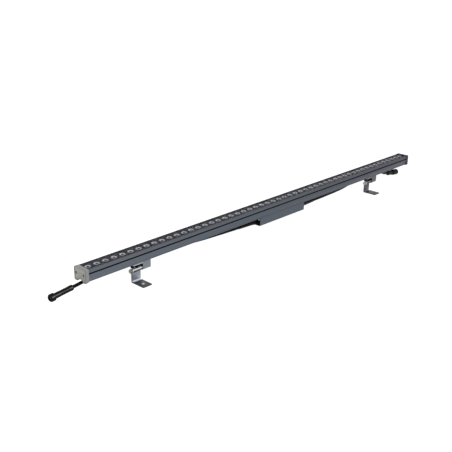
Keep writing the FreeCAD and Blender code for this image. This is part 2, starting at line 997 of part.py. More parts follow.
def clamp(place):
    """Shape a clamp: slot neck, shoulders, web and round knuckle beside the eye's pocket."""
    start = eye_start(place)
    length = place + knuckle_width - start
    neck = slot_mouth / 2 - (slot_mouth - slot_nut_neck) / 2
    under = clamp_slot_play + shoulder_thickness
    half = [
        (knuckle_radius, -hinge_drop),
        (knuckle_radius, -under, shoulder_root),
        (shoulder_width / 2, -under, shoulder_corner),
        (shoulder_width / 2, -clamp_slot_play, shoulder_corner),
        (neck, -clamp_slot_play),
        (neck, clamp_neck_top),
    ]
    along = Vector(1, 0, 0)
    body = prism(mirrored(half), in_yz(start), along * length)
    barrel = rod(Vector(start, 0, -hinge_drop), along, length, knuckle_radius)
    body = fused([body, barrel])
    web_low = eye_outer + pocket_web_gap - hinge_drop
    wide = knuckle_radius + overrun
    low = hinge_drop + knuckle_radius + overrun
    cut_length = place - start + overrun
    below = [(-wide, -low), (wide, -low), (wide, web_low), (-wide, web_low)]
    front = [(-wide, -low), (pocket_back, -low), (pocket_back, -pocket_ceiling), (-wide, -pocket_ceiling)]
    screw_x = start + eye_width / 2
    nut_face = place + knuckle_width
    nut_depth = bolt_nut_height + bolt_nut_sink
    up = Vector(0, 0, 1)
    cuts = [
        prism(below, in_yz(start - overrun), along * cut_length),
        prism(front, in_yz(start - overrun), along * cut_length),
        rod(Vector(place - overrun, 0, -hinge_drop), along, knuckle_width + 2 * overrun, eye_inner),
        hexagon(Vector(nut_face - nut_depth, 0, -hinge_drop), along, nut_depth + overrun,
                bolt_across + 2 * bolt_nut_play),
        rod(Vector(screw_x, 0, -low), up, low + clamp_neck_top + overrun, clamp_screw_bore),
        rod(Vector(screw_x, 0, -low), up, low - pocket_ceiling, clamp_head_radius + clamp_head_play),
    ]
    return body.cut(cuts)


def clamp_nut(place):
    """Shape the nut that a clamp's screw pulls down on the slot's lips."""
    x = eye_start(place) + eye_width / 2
    low = lip_thickness + clamp_slot_play
    nut = block(x - clamp_nut_length / 2, x + clamp_nut_length / 2, clamp_nut_width / 2, low,
                low + clamp_nut_height)
    return nut.cut(rod(Vector(x, 0, 0), Vector(0, 0, 1), bar_height, slot_nut_bore))


def clamp_screw(place):
    """Shape the cap screw in the roof of a clamp's pocket."""
    x = eye_start(place) + eye_width / 2
    seat = Vector(x, 0, -pocket_ceiling)
    down = Vector(0, 0, -1)
    length = pocket_ceiling + lip_thickness + clamp_slot_play + clamp_nut_height
    shank = rod(seat, down * -1, length, clamp_screw_radius)
    head = rod(seat, down, clamp_head_height, clamp_head_radius)
    key = hexagon(seat + down * (clamp_head_height - clamp_key_depth), down,
                  clamp_key_depth + overrun, clamp_key_radius * 2)
    return fused([shank, head]).cut(key)


def pivot_bolt(place):
    """Shape a pivot bolt with its hexagon head outside the eye."""
    head_face = eye_start(place) - eye_gap - bolt_washer_thickness
    tip = place + knuckle_width - bolt_nut_sink
    along = Vector(1, 0, 0)
    shank = rod(Vector(head_face, 0, -hinge_drop), along, tip - head_face, pivot_radius)
    head = hexagon(Vector(head_face - bolt_head_height, 0, -hinge_drop), along, bolt_head_height,
                   bolt_across)
    return fused([shank, head])


def pivot_washer(place):
    """Shape the washer between a bolt's head and the eye."""
    start = Vector(eye_start(place) - eye_gap - bolt_washer_thickness, 0, -hinge_drop)
    along = Vector(1, 0, 0)
    disc = rod(start, along, bolt_washer_thickness, bolt_washer_radius)
    bore = rod(start - along * overrun, along, bolt_washer_thickness + 2 * overrun,
               pivot_radius + washer_bore_play)
    return disc.cut(bore)


def pivot_nut(place):
    """Shape the hexagon nut sunk in a knuckle's outer face."""
    depth = bolt_nut_height + bolt_nut_sink
    start = Vector(place + knuckle_width - depth, 0, -hinge_drop)
    along = Vector(1, 0, 0)
    body = hexagon(start, along, bolt_nut_height, bolt_across)
    return body.cut(rod(start - along * overrun, along, bolt_nut_height + 2 * overrun, eye_inner))


# Collect every piece under its own name
glass_end = bar_end - seal_width
board_end = bar_end - bar_end_margin - lens_pitch / 2 + lens_radius + board_end_margin
pieces = {
    "housing_profile": bar_profile(),
    "glass_cover": block(-glass_end, glass_end, glass_side - seal_width, glass_seat, glass_top),
    "glass_seal": glass_seal(),
    "lens_strip": lens_strip(),
    "lenses": Part.makeCompound([lens(x) for x in lens_places()]),
    "led_chips": Part.makeCompound([chip(x) for x in lens_places()]),
    "circuit_board": block(-board_end, board_end, board_width / 2, floor_top, board_top),
    "end_cap_screws": cap_screws(),
    "driver_case": driver_case(),
    "driver_end_screws": end_plate_screws(),
    "driver_board": driver_board(),
    "driver_transformer": transformer(),
    "driver_capacitors": capacitors(),
    "driver_fixing_screws": fixing_screws(),
    "driver_slot_nuts": Part.makeCompound([
        slot_nut(x, slot_nut_width, slot_nut_length, lip_thickness, slot_nut_top)
        for x in fixing_places()
    ]),
    "supply_wires": supply_wires(),
    "wire_grommet": wire_grommet(),
    "lead_left": tube("lead_left", [left_lead_start] + left_lead_route, lead_radius),
    "lead_right": tube("lead_right", [right_lead_start] + right_lead_route, lead_radius),
    "male_connector_body": male_body(),
    "male_connector_ring": male_ring(),
    "male_connector_contacts": male_contacts(),
    "female_connector_body": female_body(),
    "female_coupling_nut": coupling_nut(),
}
for side, word in ((-1, "left"), (1, "right")):
    pieces["end_cap_" + word] = end_cap(side)
    pieces["end_gasket_" + word] = end_gasket(side)
    pieces["driver_end_plate_" + word] = end_plate(side)
    pieces["gland_" + word] = gland(side)
    pieces["gland_locknut_" + word] = gland_locknut(side)
    pieces["strain_relief_" + word] = strain_relief(side)
for place, word in ((left_clamp_place, "left"), (right_clamp_place, "right")):
    pieces["clamp_" + word] = clamp(place)
    pieces["clamp_nut_" + word] = clamp_nut(place)
    pieces["clamp_screw_" + word] = clamp_screw(place)
    pieces["foot_" + word] = foot(place)
    pieces["pivot_bolt_" + word] = pivot_bolt(place)
    pieces["pivot_washer_" + word] = pivot_washer(place)
    pieces["pivot_nut_" + word] = pivot_nut(place)

# Lift the light onto its soles, centre it between sole tip and cap, and write the files
os.makedirs("parts", exist_ok=True)
for name, shape in pieces.items():
    shape.translate(Vector(0, shift, lift))
    shape.exportStep("parts/" + name + ".step")
    if not shape.isValid():
        print("not valid:", name)
print(len(pieces), "pieces")
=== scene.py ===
"""Looks of a slim outdoor linear light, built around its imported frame.

Lengths are metres. The bar runs along +X, its light face looks up, and the soles of its two
feet stand on the floor at Z = 0 and point towards -Y.
"""

import logging
import math
from dataclasses import dataclass
from enum import Enum, IntEnum
from typing import TypeAlias

import bmesh
import bpy
from mathutils import Matrix, Vector


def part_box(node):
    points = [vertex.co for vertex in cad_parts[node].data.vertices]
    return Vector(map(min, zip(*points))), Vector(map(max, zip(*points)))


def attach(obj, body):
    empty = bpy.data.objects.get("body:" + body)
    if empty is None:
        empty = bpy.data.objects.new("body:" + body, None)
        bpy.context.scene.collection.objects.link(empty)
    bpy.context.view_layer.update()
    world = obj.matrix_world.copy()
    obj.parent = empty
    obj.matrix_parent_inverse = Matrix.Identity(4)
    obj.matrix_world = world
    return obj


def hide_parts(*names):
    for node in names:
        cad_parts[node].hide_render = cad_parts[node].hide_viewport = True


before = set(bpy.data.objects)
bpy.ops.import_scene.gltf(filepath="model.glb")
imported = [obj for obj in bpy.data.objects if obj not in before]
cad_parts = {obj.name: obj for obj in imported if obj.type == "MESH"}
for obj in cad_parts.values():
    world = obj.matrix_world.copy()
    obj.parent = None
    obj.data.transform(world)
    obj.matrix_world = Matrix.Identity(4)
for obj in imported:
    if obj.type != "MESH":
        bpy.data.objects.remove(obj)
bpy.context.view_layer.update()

Spot: TypeAlias = tuple[float, float, float]
Colour: TypeAlias = tuple[float, float, float]
Operand: TypeAlias = "float | Signal"
Piece: TypeAlias = bpy.types.Object
Finish: TypeAlias = bpy.types.Material

MM = 0.001
WHITE = (1.0, 1.0, 1.0)
WELD_DISTANCE = 0.002 * MM
FLAT_ANGLE = math.radians(0.6)
SHARP_ANGLE = math.radians(28)
LENS_SHARP_ANGLE = math.radians(32)
EASE_SEGMENTS = 2
ON_AXIS = 1e-7
MALE_CONNECTOR = ["male_connector_body", "male_connector_ring"]
FEMALE_CONNECTOR = ["female_connector_body", "female_coupling_nut"]


class Side(Enum):
    """An end of the bar, or a foot nearer to it."""

    LEFT = "left"
    RIGHT = "right"


class Sheen(Enum):
    """How rough a finish is."""

    GLOSS = 0.2
    SATIN = 0.38
    SOFT = 0.5


class Ray(Enum):
    """A kind of ray, by the name of its Light Path output."""

    CAMERA = "Is Camera Ray"
    SHADOW = "Is Shadow Ray"
    DIFFUSE = "Is Diffuse Ray"
    GLOSSY = "Is Glossy Ray"
    TRANSMISSION = "Is Transmission Ray"


class LensZone(IntEnum):
    """A part of a lens, by the number of its material."""

    RIM = 0
    FACE = 1
    CORE = 2
    CONE = 3


@dataclass(frozen=True)
class Zone:
    """A stretch along one axis, measured from a datum; without a start or an end it is open there.

    Attributes:
        start: where it starts.
        end: where it ends.
        soft: the width outside it over which each edge fades.
        share: its strength.
    """

    start: float | None = None
    end: float | None = None
    soft: float = 0.0
    share: float = 1.0


@dataclass(frozen=True)
class Pattern:
    """A noise pattern and how much it shows.

    Attributes:
        scale: features per metre.
        detail: octaves.
        stretch: factor on each axis; a small one draws the pattern out along it.
        start: the noise at which it starts to show in the colour.
        full: the noise at which it shows most.
        share: how strongly it then shows.
        swing: how much roughness separates its ends.
        drop: how much smoother than the sheen its smooth end is.
        relief: the strength of its bump.
        depth: the depth of its bump.
    """

    scale: float
    detail: float
    stretch: Spot = (1.0, 1.0, 1.0)
    start: float = 0.35
    full: float = 0.75
    share: float = 1.0
    swing: float = 0.2
    drop: float = 0.1
    relief: float = 0.15
    depth: float = 0.03 * MM


class Signal:
    """A node socket that takes part in written sums."""

    def __init__(self, shader: "Shader", socket: bpy.types.NodeSocket) -> None:
        """Hold the socket and the shader that it belongs to."""
        self.shader = shader
        self.socket = socket

    def _sum(self, operation: str, first: Operand, second: Operand) -> "Signal":
        """Add one Math node and give its result."""
        node = self.shader.node("ShaderNodeMath", {"operation": operation}, {0: first, 1: second})
        return Signal(self.shader, node.outputs[0])

    def __add__(self, other: Operand) -> "Signal":
        """Add a value or signal."""
        return self._sum("ADD", self, other)

    def __radd__(self, other: Operand) -> "Signal":
        """Add this signal to a value."""
        return self._sum("ADD", other, self)

    def __sub__(self, other: Operand) -> "Signal":
        """Take a value or signal away."""
        return self._sum("SUBTRACT", self, other)

    def __rsub__(self, other: Operand) -> "Signal":
        """Take this signal away from a value."""
        return self._sum("SUBTRACT", other, self)

    def __mul__(self, other: Operand) -> "Signal":
        """Multiply by a value or signal."""
        return self._sum("MULTIPLY", self, other)

    def __rmul__(self, other: Operand) -> "Signal":
        """Multiply a value by this signal."""
        return self._sum("MULTIPLY", other, self)

    def span(self, start: float, end: float, first: float, last: float) -> "Signal":
        """Map the signal from one range, start to end, to another, first to last, held at both ends."""
        made = self.shader.node("ShaderNodeMapRange", {}, {0: self, 1: start, 2: end, 3: first, 4: last})
        return Signal(self.shader, made.outputs[0])

    def within(self, zone: Zone, datum: float = 0.0) -> "Signal":
        """Give a zone's strength where the signal lies inside it, and 0 outside.

        Args:
            zone: the zone.
            datum: the value that it is measured from.

        Returns:
            The mask.
        """
        mask = zone.share
        if zone.start is not None:
            start = datum + zone.start
            mask = mask * self.span(start - zone.soft, start, 0.0, 1.0)
        if zone.end is not None:
            end = datum + zone.end
            mask = mask * self.span(end, end + zone.soft, 1.0, 0.0)
        return mask


class Shader:
    """The node tree of a material or of the world, written as expressions."""

    def __init__(self, owner: Finish | bpy.types.World, output: str) -> None:
        """Empty the owner's tree and add its output.

        Args:
            owner: the material or world.
            output: the type of its output node.
        """
        owner.use_nodes = True
        self.owner = owner
        self.tree = owner.node_tree
        self.tree.nodes.clear()
        self.out = self.node(output, {}, {})

    @classmethod
    def of_material(cls, name: str) -> "Shader":
        """Start a new material of that name."""
        return cls(bpy.data.materials.new(name), "ShaderNodeOutputMaterial")

    def node(self, kind: str, settings: dict[str, object],
             inputs: dict[int | str, object]) -> bpy.types.Node:
        """Add a node.

        Args:
            kind: the node's type.
            settings: its own settings, set before its sockets.
            inputs: socket name or number to a value, signal or socket.

        Returns:
            The new node.
        """
        made = self.tree.nodes.new(kind)
        for key, value in settings.items():
            if key == "stops":
                self._stops(made, value)
            else:
                setattr(made, key, value)
        for key, value in inputs.items():
            if isinstance(value, Signal):
                self.tree.links.new(value.socket, made.inputs[key])
            elif isinstance(value, bpy.types.NodeSocket):
                self.tree.links.new(value, made.inputs[key])
            else:
                made.inputs[key].default_value = value
        return made

    @staticmethod
    def _stops(ramp: bpy.types.Node, stops: list[tuple[float, float]]) -> None:
        """Set a ramp's stops.

        Args:
            ramp: the ramp node.
            stops: (place, grey level) pairs.
        """
        for element, (place, level) in zip(ramp.color_ramp.elements, stops):
            element.position = place
            element.color = rgba((level, level, level))

    def place(self) -> bpy.types.NodeSocket:
        """Give the point on the surface in the row frame."""
        return self.node("ShaderNodeTexCoord", {}, {}).outputs["Object"]

    def axes(self) -> tuple[Signal, Signal, Signal]:
        """Give the point's X, Y and Z as three signals."""
        parts = self.node("ShaderNodeSeparateXYZ", {}, {0: self.place()})
        return tuple(Signal(self, socket) for socket in parts.outputs)

    def rays(self, *kinds: Ray) -> Signal:
        """Give 1 for rays of the named kinds and 0 for others.

        Args:
            kinds: one kind or more.

        Returns:
            The sum of their flags.
        """
        path = self.node("ShaderNodeLightPath", {}, {})
        first, *others = (Signal(self, path.outputs[kind.value]) for kind in kinds)
        return sum(others, first)

    def noise(self, pattern: Pattern) -> Signal:
        """Give a pattern's noise.

        Args:
            pattern: the pattern.

        Returns:
            The noise, from 0 to 1.
        """
        moved = self.node("ShaderNodeVectorMath", {"operation": "MULTIPLY"},
                          {0: self.place(), 1: pattern.stretch})
        made = self.node("ShaderNodeTexNoise", {}, {
            "Vector": moved.outputs[0], "Scale": pattern.scale, "Detail": pattern.detail})
        return Signal(self, made.outputs[0])

    def tone(self, noise: Signal, pattern: Pattern) -> Signal:
        """Give how strongly a pattern's noise shows in the colour.

        Args:
            noise: the pattern's noise.
            pattern: the pattern.

        Returns:
            The mask.
        """
        stops = [(pattern.start, 0.0), (pattern.full, 1.0)]
        made = self.node("ShaderNodeValToRGB", {"stops": stops}, {0: noise})
        return Signal(self, made.outputs[0]) * pattern.share

    def relief(self, noise: Signal, pattern: Pattern) -> bpy.types.NodeSocket:
        """Turn a pattern's noise into a normal."""
        return self.node("ShaderNodeBump", {}, {
            "Strength": pattern.relief, "Distance": pattern.depth, "Height": noise}).outputs[0]

    def mix(self, share: Operand, first: object, second: object) -> Signal:
        """Mix two colours by a share."""
        made = self.node("ShaderNodeMix", {"data_type": "RGBA"}, {0: share, 6: rgba(first), 7: rgba(second)})
        return Signal(self, made.outputs[2])

    def layers(self, shade: Signal, coats: list[tuple[Operand, Colour]]) -> Signal:
        """Lay colours over a shade.

        Args:
            shade: the colour to start from.
            coats: (mask, colour) pairs, the lowest first.

        Returns:
            The colour with every coat on it.
        """
        for mask, colour in coats:
            shade = self.mix(mask, shade, colour)
        return shade

    def principled(self, inputs: dict[int | str, object]) -> bpy.types.Node:
        """Add the main surface shader."""
        return self.node("ShaderNodeBsdfPrincipled", {}, inputs)

    def finish(self, surface: bpy.types.Node) -> Finish | bpy.types.World:
        """Join the surface to the output and give the tree's owner."""
        self.tree.links.new(surface.outputs[0], self.out.inputs[0])
        return self.owner


def rgba(colour: object) -> object:
    """Add an alpha of 1 to a plain colour.

    Args:
        colour: a colour or a signal.

    Returns:
        The colour with its alpha, or the signal as it is.
    """
    if isinstance(colour, tuple):
        return (*colour, 1.0)
    return colour


@dataclass(frozen=True)
class AnodisedBar:
    """Dark blue-grey anodised extrusion with fine drawing lines along it."""

    base: Colour = (0.046, 0.0565, 0.073)
    cloudy: Colour = (0.056, 0.067, 0.084)
    # tone of the drawing lines, also laid on a band low on the side as a painted highlight
    line_tone_and_painted_highlight: Colour = (0.115, 0.127, 0.148)
    pale: Colour = (0.114, 0.131, 0.156)
    warm: Colour = (0.058, 0.05, 0.077)
    shaded: Colour = (0.054, 0.054, 0.06)
    # painted shade: a darker band along the lower lip of the side
    lip_painted_shade: Colour = (0.04, 0.044, 0.05)
    # near black, for the painted shade inside the groove
    deep: Colour = (0.002, 0.002, 0.004)
    metal: float = 0.7
    rough: Sheen = Sheen.SATIN
    groove_rough: float = 0.3
    lines: Pattern = Pattern(2600.0, 4.0, (0.006, 1.0, 1.0), start=0.45, full=0.8, share=0.25, swing=0.16,
                             drop=0.06, relief=0.18, depth=0.04 * MM)
    cloud: Pattern = Pattern(26.0, 3.0, (0.5, 1.0, 1.0), start=0.3, full=0.7, share=0.5)
    # painted light: the near end of the bar is painted paler, where more light falls on it
    near_end_painted_light: Zone = Zone(end=-0.42, soft=0.8, share=0.75)
    # painted light: the far end is painted a purplish tone, standing in for the cast of the light it shows
    # at a grazing view
    far_end_painted_tint: Zone = Zone(start=0.55, soft=0.35, share=0.7)
    rim: Zone = Zone(start=-0.28 * MM, soft=0.12 * MM, share=0.8)
    # painted highlight: a paler band low on the side, standing in for light caught along it
    side_highlight_band: Zone = Zone(3.7 * MM, 4.9 * MM, 0.3 * MM, 0.5)
    lip: Zone = Zone(1.9 * MM, 3.0 * MM, 0.4 * MM, 0.3)
    groove: Zone = Zone(12.92 * MM, 15.46 * MM, 0.08 * MM)
    groove_depth: Zone = Zone(end=2.2 * MM, soft=0.1 * MM)

    def material(self, underside: float, top: float, front: float) -> Finish:
        """Make the finish.

        Args:
            underside: height of the bar's underside.
            top: height of its rims.
            front: the Y of its front face.

        Returns:
            The material.
        """
        shader = Shader.of_material("anodised_bar")
        lines = shader.noise(self.lines)
        along, across, height = shader.axes()
        # painted shade: the groove's inside is painted near black, made fully metallic and rougher so that
        # it reflects little
        groove = height.within(self.groove, underside) * across.within(self.groove_depth, front)
        shade = shader.mix(shader.tone(shader.noise(self.cloud), self.cloud), self.base, self.cloudy)
        shade = shader.layers(shade, [
            (shader.tone(lines, self.lines), self.line_tone_and_painted_highlight),
            (along.within(self.near_end_painted_light), self.pale),
            (along.within(self.far_end_painted_tint), self.warm),
            (height.within(self.rim, top), self.shaded),
            (height.within(self.side_highlight_band, underside), self.line_tone_and_painted_highlight),
            (height.within(self.lip, underside), self.lip_painted_shade),
            (groove, self.deep),
        ])
        return shader.finish(shader.principled({
            "Base Color": shade,
            "Metallic": groove * (1.0 - self.metal) + self.metal,
            "Roughness": (lines * self.lines.swing + groove * self.groove_rough
                          + (self.rough.value - self.lines.drop)),
            "Normal": shader.relief(lines, self.lines),
        }))


@dataclass(frozen=True)
class CastCap:
    """Cast cap with a fine sandy skin; painted shade makes its front side cooler and darkens its sunk face's
    margin.
    """

    name: str
    base: Colour
    pale: Colour
    # colour of the grain's dark flecks, also the painted shade round the sunk face's margin
    deep: Colour
    flank_painted_shade: Colour
    metal: float = 0.45
    rough: Sheen = Sheen.SOFT
    grain: Pattern = Pattern(2100.0, 5.0, start=0.5, full=0.85, share=0.5, relief=0.35, depth=0.08 * MM)
    cloud: Pattern = Pattern(90.0, 3.0, full=0.7)
    sunk: Zone = Zone(0.55 * MM, 2.4 * MM, 0.1 * MM, 0.6)
    side: Zone = Zone(end=0.5 * MM, soft=0.2 * MM)
    margin: float = 2.4 * MM
    margin_soft: float = 0.3 * MM

    def middle(self, signal: Signal, low: float, high: float) -> Signal:
        """Give 1 between the cap's margins along one axis."""
        return signal.within(Zone(low + self.margin, high - self.margin, self.margin_soft))

    def material(self, node: str) -> Finish:
        """Make the finish.

        Args:
            node: the cap's node, whose box places its sides and its sunk face.

        Returns:
            The material.
        """
        shader = Shader.of_material(self.name)
        low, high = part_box(node)
        outward = 1.0 if low.x > 0 else -1.0
        face = high.x if outward > 0 else low.x
        grain = shader.noise(self.grain)
        along, across, height = shader.axes()
        sunk = ((face - along) * outward).within(self.sunk)
        middle = self.middle(across, low.y, high.y) * self.middle(height, low.z, high.z)
        shade = shader.mix(shader.tone(shader.noise(self.cloud), self.cloud), self.base, self.pale)
        shade = shader.layers(shade, [
            # painted shade: the front side gets a cooler tone of its own for the light it catches
            (across.within(self.side, low.y), self.flank_painted_shade),
            (shader.tone(grain, self.grain), self.deep),
            # painted shade: darker round the margin of the sunk face, beside its rim
            ((1.0 - middle) * sunk, self.deep),
        ])
        return shader.finish(shader.principled({
            "Base Color": shade,
            "Metallic": self.metal,
            "Roughness": grain * self.grain.swing + (self.rough.value - self.grain.drop),
            "Normal": shader.relief(grain, self.grain),
        }))


@dataclass(frozen=True)
class SatinMetal:
    """Bare or plated metal with brushing along one axis."""

    name: str
    base: Colour
    light: Colour
    metal: float = 0.9
    rough: Sheen = Sheen.SATIN
    dark: Colour = (0.05, 0.052, 0.058)
    brushing: Pattern = Pattern(1800.0, 4.0, (1.0, 1.0, 0.02), share=0.6)
    cloud: Pattern = Pattern(120.0, 3.0, start=0.5, full=0.8, share=0.18)
    hollow_rough: float = 0.4

    def marks(self, shader: Shader, shade: Signal, cloud: Signal) -> tuple[Signal, Operand]:
        """Give the colour as it is and no hollow; a metal with marks of its own adds them here."""
        return shade, 0.0

    def material(self) -> Finish:
        """Make the finish.

        Returns:
            The material.
        """
        shader = Shader.of_material(self.name)
        brushed = shader.noise(self.brushing)
        cloud = shader.noise(self.cloud)
        shade = shader.mix(shader.tone(brushed, self.brushing), self.base, self.light)
        shade = shader.mix(shader.tone(cloud, self.cloud), shade, self.dark)
        shade, hollow = self.marks(shader, shade, cloud)
        return shader.finish(shader.principled({
            "Base Color": shade,
            "Metallic": hollow * (1.0 - self.metal) + self.metal,
            "Roughness": (brushed * self.brushing.swing
                          + (hollow * self.hollow_rough + (self.rough.value - self.brushing.drop))),
            "Normal": shader.relief(brushed, self.brushing),
        }))


@dataclass(frozen=True, kw_only=True)
class FootMetal(SatinMetal):
    """Zinc-plated sheet, with painted highlights on its eye, bend and hole and painted shade on its sole."""

    node: str
    painted_highlight: Colour
    shaded: Colour = (0.012, 0.013, 0.017)
    eye_radius: float = 3.85 * MM
    sheet: float = 1.8 * MM
    hole_inset: float = 12.4 * MM
    hole_radius: float = 2.75 * MM
    crown: Zone = Zone(start=1.4 * MM, soft=0.8 * MM, share=0.88)
    crown_front: Zone = Zone(end=1.4 * MM, soft=0.3 * MM)
    belly: Zone = Zone(start=-5.2 * MM, soft=1.2 * MM, share=0.95)
    belly_top: Zone = Zone(end=-1.0 * MM, soft=3.0 * MM)
    bend: Zone = Zone(-0.1 * MM, 0.9 * MM, 0.4 * MM)
    bend_back: Zone = Zone(start=-1.2 * MM, soft=0.7 * MM)
    bend_side: Zone = Zone(start=2.6 * MM, soft=1.0 * MM)
    shin: Zone = Zone(1.4 * MM, 3.2 * MM, 8.0 * MM, 0.25)
    heel: Zone = Zone(-6.0 * MM, -2.2 * MM, 1.0 * MM, 0.9)
    sole: Zone = Zone(end=0.05 * MM, soft=0.3 * MM)
    sole_cloud: float = 0.25
    cut_edge: Zone = Zone(end=0.15 * MM, soft=0.1 * MM, share=0.6)
    wall_reach: float = 0.12 * MM
    wall_soft: float = 0.2 * MM * MM
    wall_share: float = 0.35

    def marks(self, shader: Shader, shade: Signal, cloud: Signal) -> tuple[Signal, Operand]:
        """Paint shade on the sole, heel and under the eye, and highlights on the eye, bend and hole's wall.

        Args:
            shader: the material's tree.
            shade: the brushed colour.
            cloud: the noise of the clouds.

        Returns:
            The colour, and no hollow.
        """
        low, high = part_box(self.node)
        axis_y = high.y - self.eye_radius
        axis_z = high.z - self.eye_radius
        along, across, height = shader.axes()
        sole = height.within(self.sole, self.sheet)
        bend = height.within(self.bend, self.sheet) * across.within(self.bend_back, axis_y)
        off_x = along - (low.x + high.x) / 2
        off_y = across - (low.y + self.hole_inset)
        reach = self.hole_radius + self.wall_reach
        wall = Zone(end=reach * reach, soft=self.wall_soft, share=self.wall_share)
        return shader.layers(shade, [
            # painted highlight low on the upright
            (height.within(self.shin, self.sheet), self.painted_highlight),
            # painted shade: the sole is painted darker, standing in for the dark it reflects
            (sole * (cloud * self.sole_cloud + (1.0 - self.sole_cloud)), self.dark),
            # painted shadow: darker still by the heel, under the bend
            (sole * across.within(self.heel, axis_y), self.shaded),
            # painted highlight along the bend
            (bend * along.within(self.bend_side, low.x), self.painted_highlight),
            # painted highlight on the eye's crown
            (height.within(self.crown, axis_z) * across.within(self.crown_front, axis_y), self.painted_highlight),
            # painted shade: darker under the eye, where it shades the upright
            (height.within(self.belly, axis_z) * height.within(self.belly_top, axis_z), self.shaded),
            (along.within(self.cut_edge, low.x), self.dark),
            # painted highlight on the wall of the hole
            ((off_x * off_x + off_y * off_y).within(wall), self.painted_highlight),
        ]), 0.0


@dataclass(frozen=True, kw_only=True)
class ClampMetal(SatinMetal):
    """Extruded clamp metal with drawing lines, and near black painted shade in its front pocket."""

    node: str
    underside: float
    # colour of the painted highlight on the strip over the pocket
    bright: Colour
    metal: float = 0.55
    dark: Colour = (0.07, 0.075, 0.08)
    lower_edge_painted_shade: Colour = (0.08, 0.085, 0.09)
    pocket_painted_shade: Colour = (0.002, 0.002, 0.003)
    brushing: Pattern = Pattern(1900.0, 4.0, (0.01, 1.0, 1.0), share=0.6)
    cloud: Pattern = Pattern(140.0, 3.0, start=0.5, full=0.8, share=0.15)
    knuckle_width: float = 18.3 * MM
    face_depth: float = 4.5 * MM
    beside: Zone = Zone(end=0.04 * MM, soft=0.02 * MM)
    ceiling: Zone = Zone(end=-7.55 * MM, soft=0.1 * MM)
    behind: Zone = Zone(start=0.15 * MM, soft=0.05 * MM)
    before: Zone = Zone(end=0.1 * MM, soft=0.03 * MM)
    lit: Zone = Zone(-7.45 * MM, -5.6 * MM, 0.2 * MM, 0.9)
    foot_edge: Zone = Zone(end=1.3 * MM, soft=0.9 * MM, share=0.5)

    def marks(self, shader: Shader, shade: Signal, cloud: Signal) -> tuple[Signal, Operand]:
        """Paint shade on the lower edge, a highlight on the strip over the pocket and black shade in the
        pocket.

        Args:
            shader: the material's tree.
            shade: the brushed colour.
            cloud: the noise of the clouds; not used.

        Returns:
            The colour, and the pocket as a hollow.
        """
        low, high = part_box(self.node)
        along, across, height = shader.axes()
        face = (low.y + high.y) / 2 - self.face_depth
        beside = along.within(self.beside, high.x - self.knuckle_width)
        # painted shade: the pocket is painted near black and, as a hollow, made fully metallic and rougher
        pocket = beside * height.within(self.ceiling, self.underside) * across.within(self.behind, face)
        # painted highlight on the strip of the front face over the pocket
        lit = height.within(self.lit, self.underside) * beside * across.within(self.before, face)
        return shader.layers(shade, [
            # painted shade: darker along the lower edge
            (height.within(self.foot_edge, low.z), self.lower_edge_painted_shade),
            (lit, self.bright),
            (pocket, self.pocket_painted_shade),
        ]), pocket


@dataclass(frozen=True)
class Moulded:
    """Moulded plastic or rubber with a fine skin and slight clouding."""

    name: str
    base: Colour
    pale: Colour
    rough: Sheen
    grain: float = 1500.0
    depth: float = 0.03 * MM
    specular: float = 0.5
    metal: float = 0.0
    cloud: Pattern = Pattern(70.0, 2.0, share=0.5)

    def material(self) -> Finish:
        """Make the finish.

        Returns:
            The material.
        """
        shader = Shader.of_material(self.name)
        pattern = Pattern(self.grain, 4.0, swing=0.16, drop=0.08, relief=0.25, depth=self.depth)
        skin = shader.noise(pattern)
        shade = shader.mix(shader.tone(shader.noise(self.cloud), self.cloud), self.base, self.pale)
        return shader.finish(shader.principled({
            "Base Color": shade,
            "Metallic": self.metal,
            "Roughness": skin * pattern.swing + (self.rough.value - pattern.drop),
            "Specular IOR Level": self.specular,
            "Normal": shader.relief(skin, pattern),
        }))


@dataclass(frozen=True)
class Pane:
    """Clear cover that bends what is seen through it and catches a weak reflection.

    Light for what lies below passes unbent, so that the cover throws no dark shadow.
    """

    tint: Colour = (0.93, 0.94, 0.95)
    index: float = 1.45
    sheen: Colour = (0.64, 0.58, 0.74)
    rough: Sheen = Sheen.GLOSS
    reach: float = 0.1
    smear: Pattern = Pattern(40.0, 3.0, (0.3, 1.0, 1.0), share=0.004, swing=0.06, drop=0.04)

    def material(self) -> Finish:
        """Make the finish.

        Returns:
            The material.
        """
        shader = Shader.of_material("clear_pane")
        smear = shader.noise(self.smear)
        edge = Signal(shader, shader.node("ShaderNodeFresnel", {}, {"IOR": self.index}).outputs[0])
        clear = shader.node("ShaderNodeBsdfTransparent", {}, {0: rgba(self.tint)})
        bent = shader.node("ShaderNodeBsdfRefraction", {}, {
            "Color": rgba(self.tint), "Roughness": 0.0, "IOR": self.index})
        through = shader.node("ShaderNodeMixShader", {}, {
            0: shader.rays(Ray.SHADOW, Ray.DIFFUSE), 1: bent.outputs[0], 2: clear.outputs[0]})
        gloss = shader.principled({
            "Base Color": rgba(self.sheen),
            "Metallic": 1.0,
            "Roughness": smear * self.smear.swing + (self.rough.value - self.smear.drop),
        })
        return shader.finish(shader.node("ShaderNodeMixShader", {}, {
            0: edge * self.reach + smear * self.smear.share, 1: through.outputs[0], 2: gloss.outputs[0]}))


